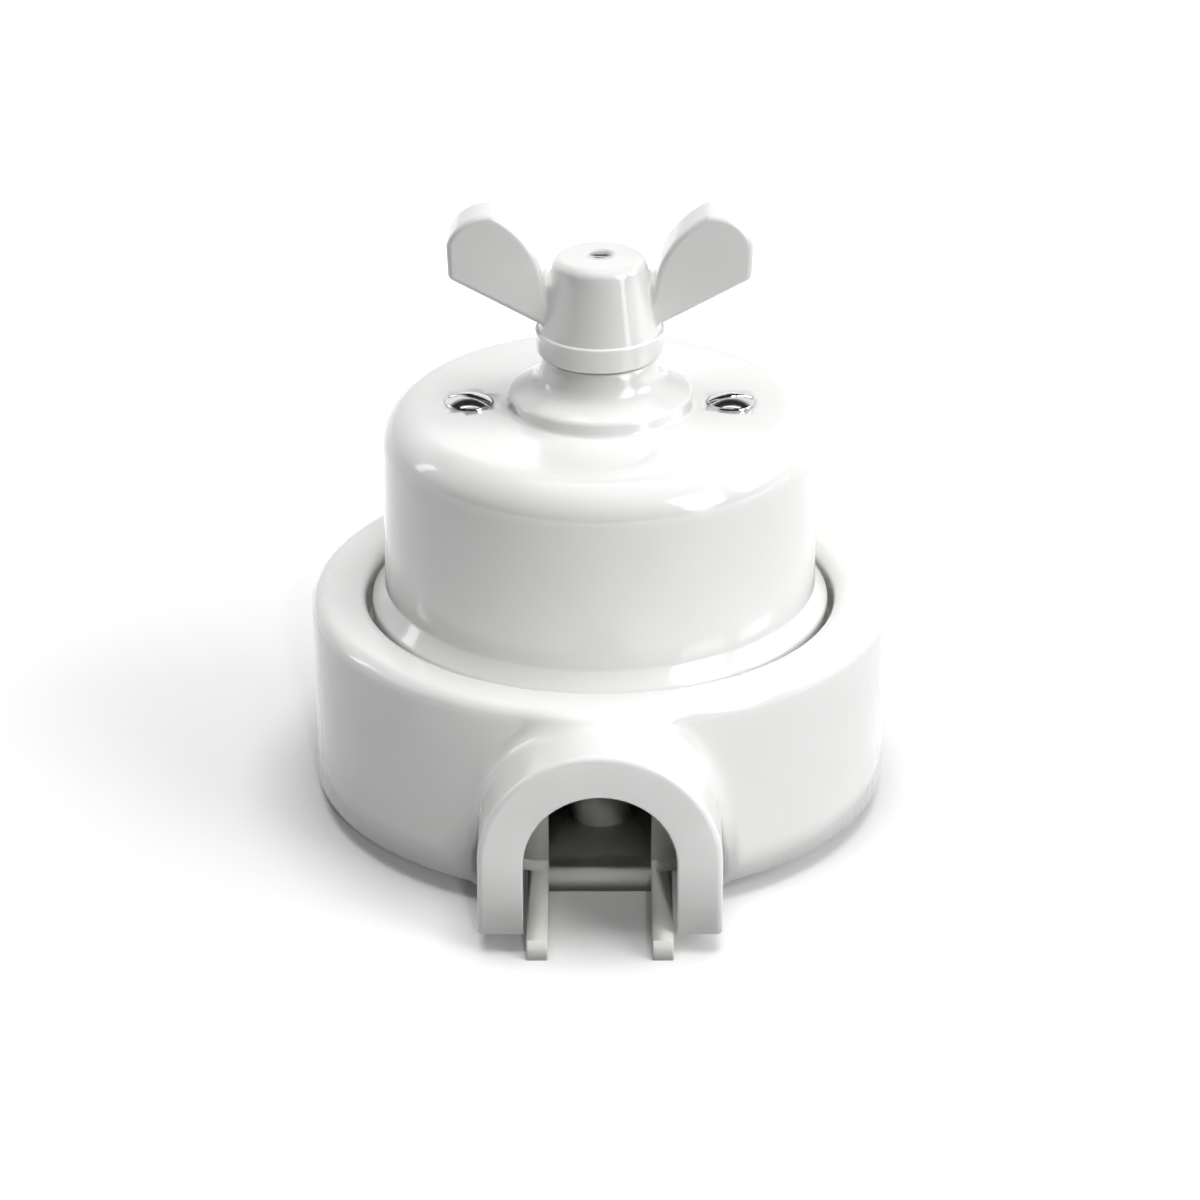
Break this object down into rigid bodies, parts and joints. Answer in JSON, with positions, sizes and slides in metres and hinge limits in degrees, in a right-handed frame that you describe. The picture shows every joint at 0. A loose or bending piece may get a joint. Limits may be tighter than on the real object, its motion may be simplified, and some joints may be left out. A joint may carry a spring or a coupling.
{
  "type": "rotary light switch",
  "caption": "Surface-mounted rotary switch with a domed porcelain cover and butterfly knob on a porcelain collar ring with an arched conduit outlet.",
  "frame": {"origin": "on the wall face, on the knob's axis, midway between the two wall screw holes", "axes": "+Z out of the wall along the knob's axis, -Y towards the conduit outlet, X along the knob's wings at rest"},
  "size_m": [0.0874, 0.1003, 0.0935],
  "materials": {
    "white_glaze": "smooth gloss glaze",
    "bare_porcelain": "unglazed matt",
    "box_plastic": "moulded, half gloss",
    "rotor_moulding": "moulded, satin",
    "brass": "turned, satin",
    "bronze": "rolled strip, bright",
    "steel": "zinc plated, satin",
    "bright_plating": "bright nickel plate"
  },
  "bodies": {
    "base": {"mounting_box": "box_plastic", "box_wall": "box_plastic", "box_pillars": "box_plastic", "box_inserts": "brass", "collar_ring": "white_glaze", "switch_base": "bare_porcelain", "base_screws": "steel", "base_bush": "brass", "cover_pillars": "brass", "pillar_screws": "steel", "cover": "white_glaze", "cover_screws": "bright_plating", "terminal_1": "brass", "terminal_2": "brass", "terminal_3": "brass", "terminal_4": "brass", "terminal_screws": "steel", "terminal_rivets": "brass", "contact_spring_1": "bronze", "contact_spring_2": "bronze", "contact_spring_3": "bronze", "contact_spring_4": "bronze", "thrust_washer": "steel", "detent_bridge": "steel", "detent_springs": "bronze", "bridge_washer": "steel"},
    "knob": {"spindle": "steel", "circlip": "steel", "rotor": "rotor_moulding", "contact_blade": "brass", "detent_cam": "steel", "knob": "white_glaze", "knob_insert": "brass", "knob_screw": "bright_plating"}
  },
  "joints": [
    {"name": "knob_turn", "type": "hinge", "parent": "base", "child": "knob", "pos_m": [0, 0, 0], "axis": [0, 0, 1], "continuous": true, "deforming": ["detent_springs"]}
  ]
}
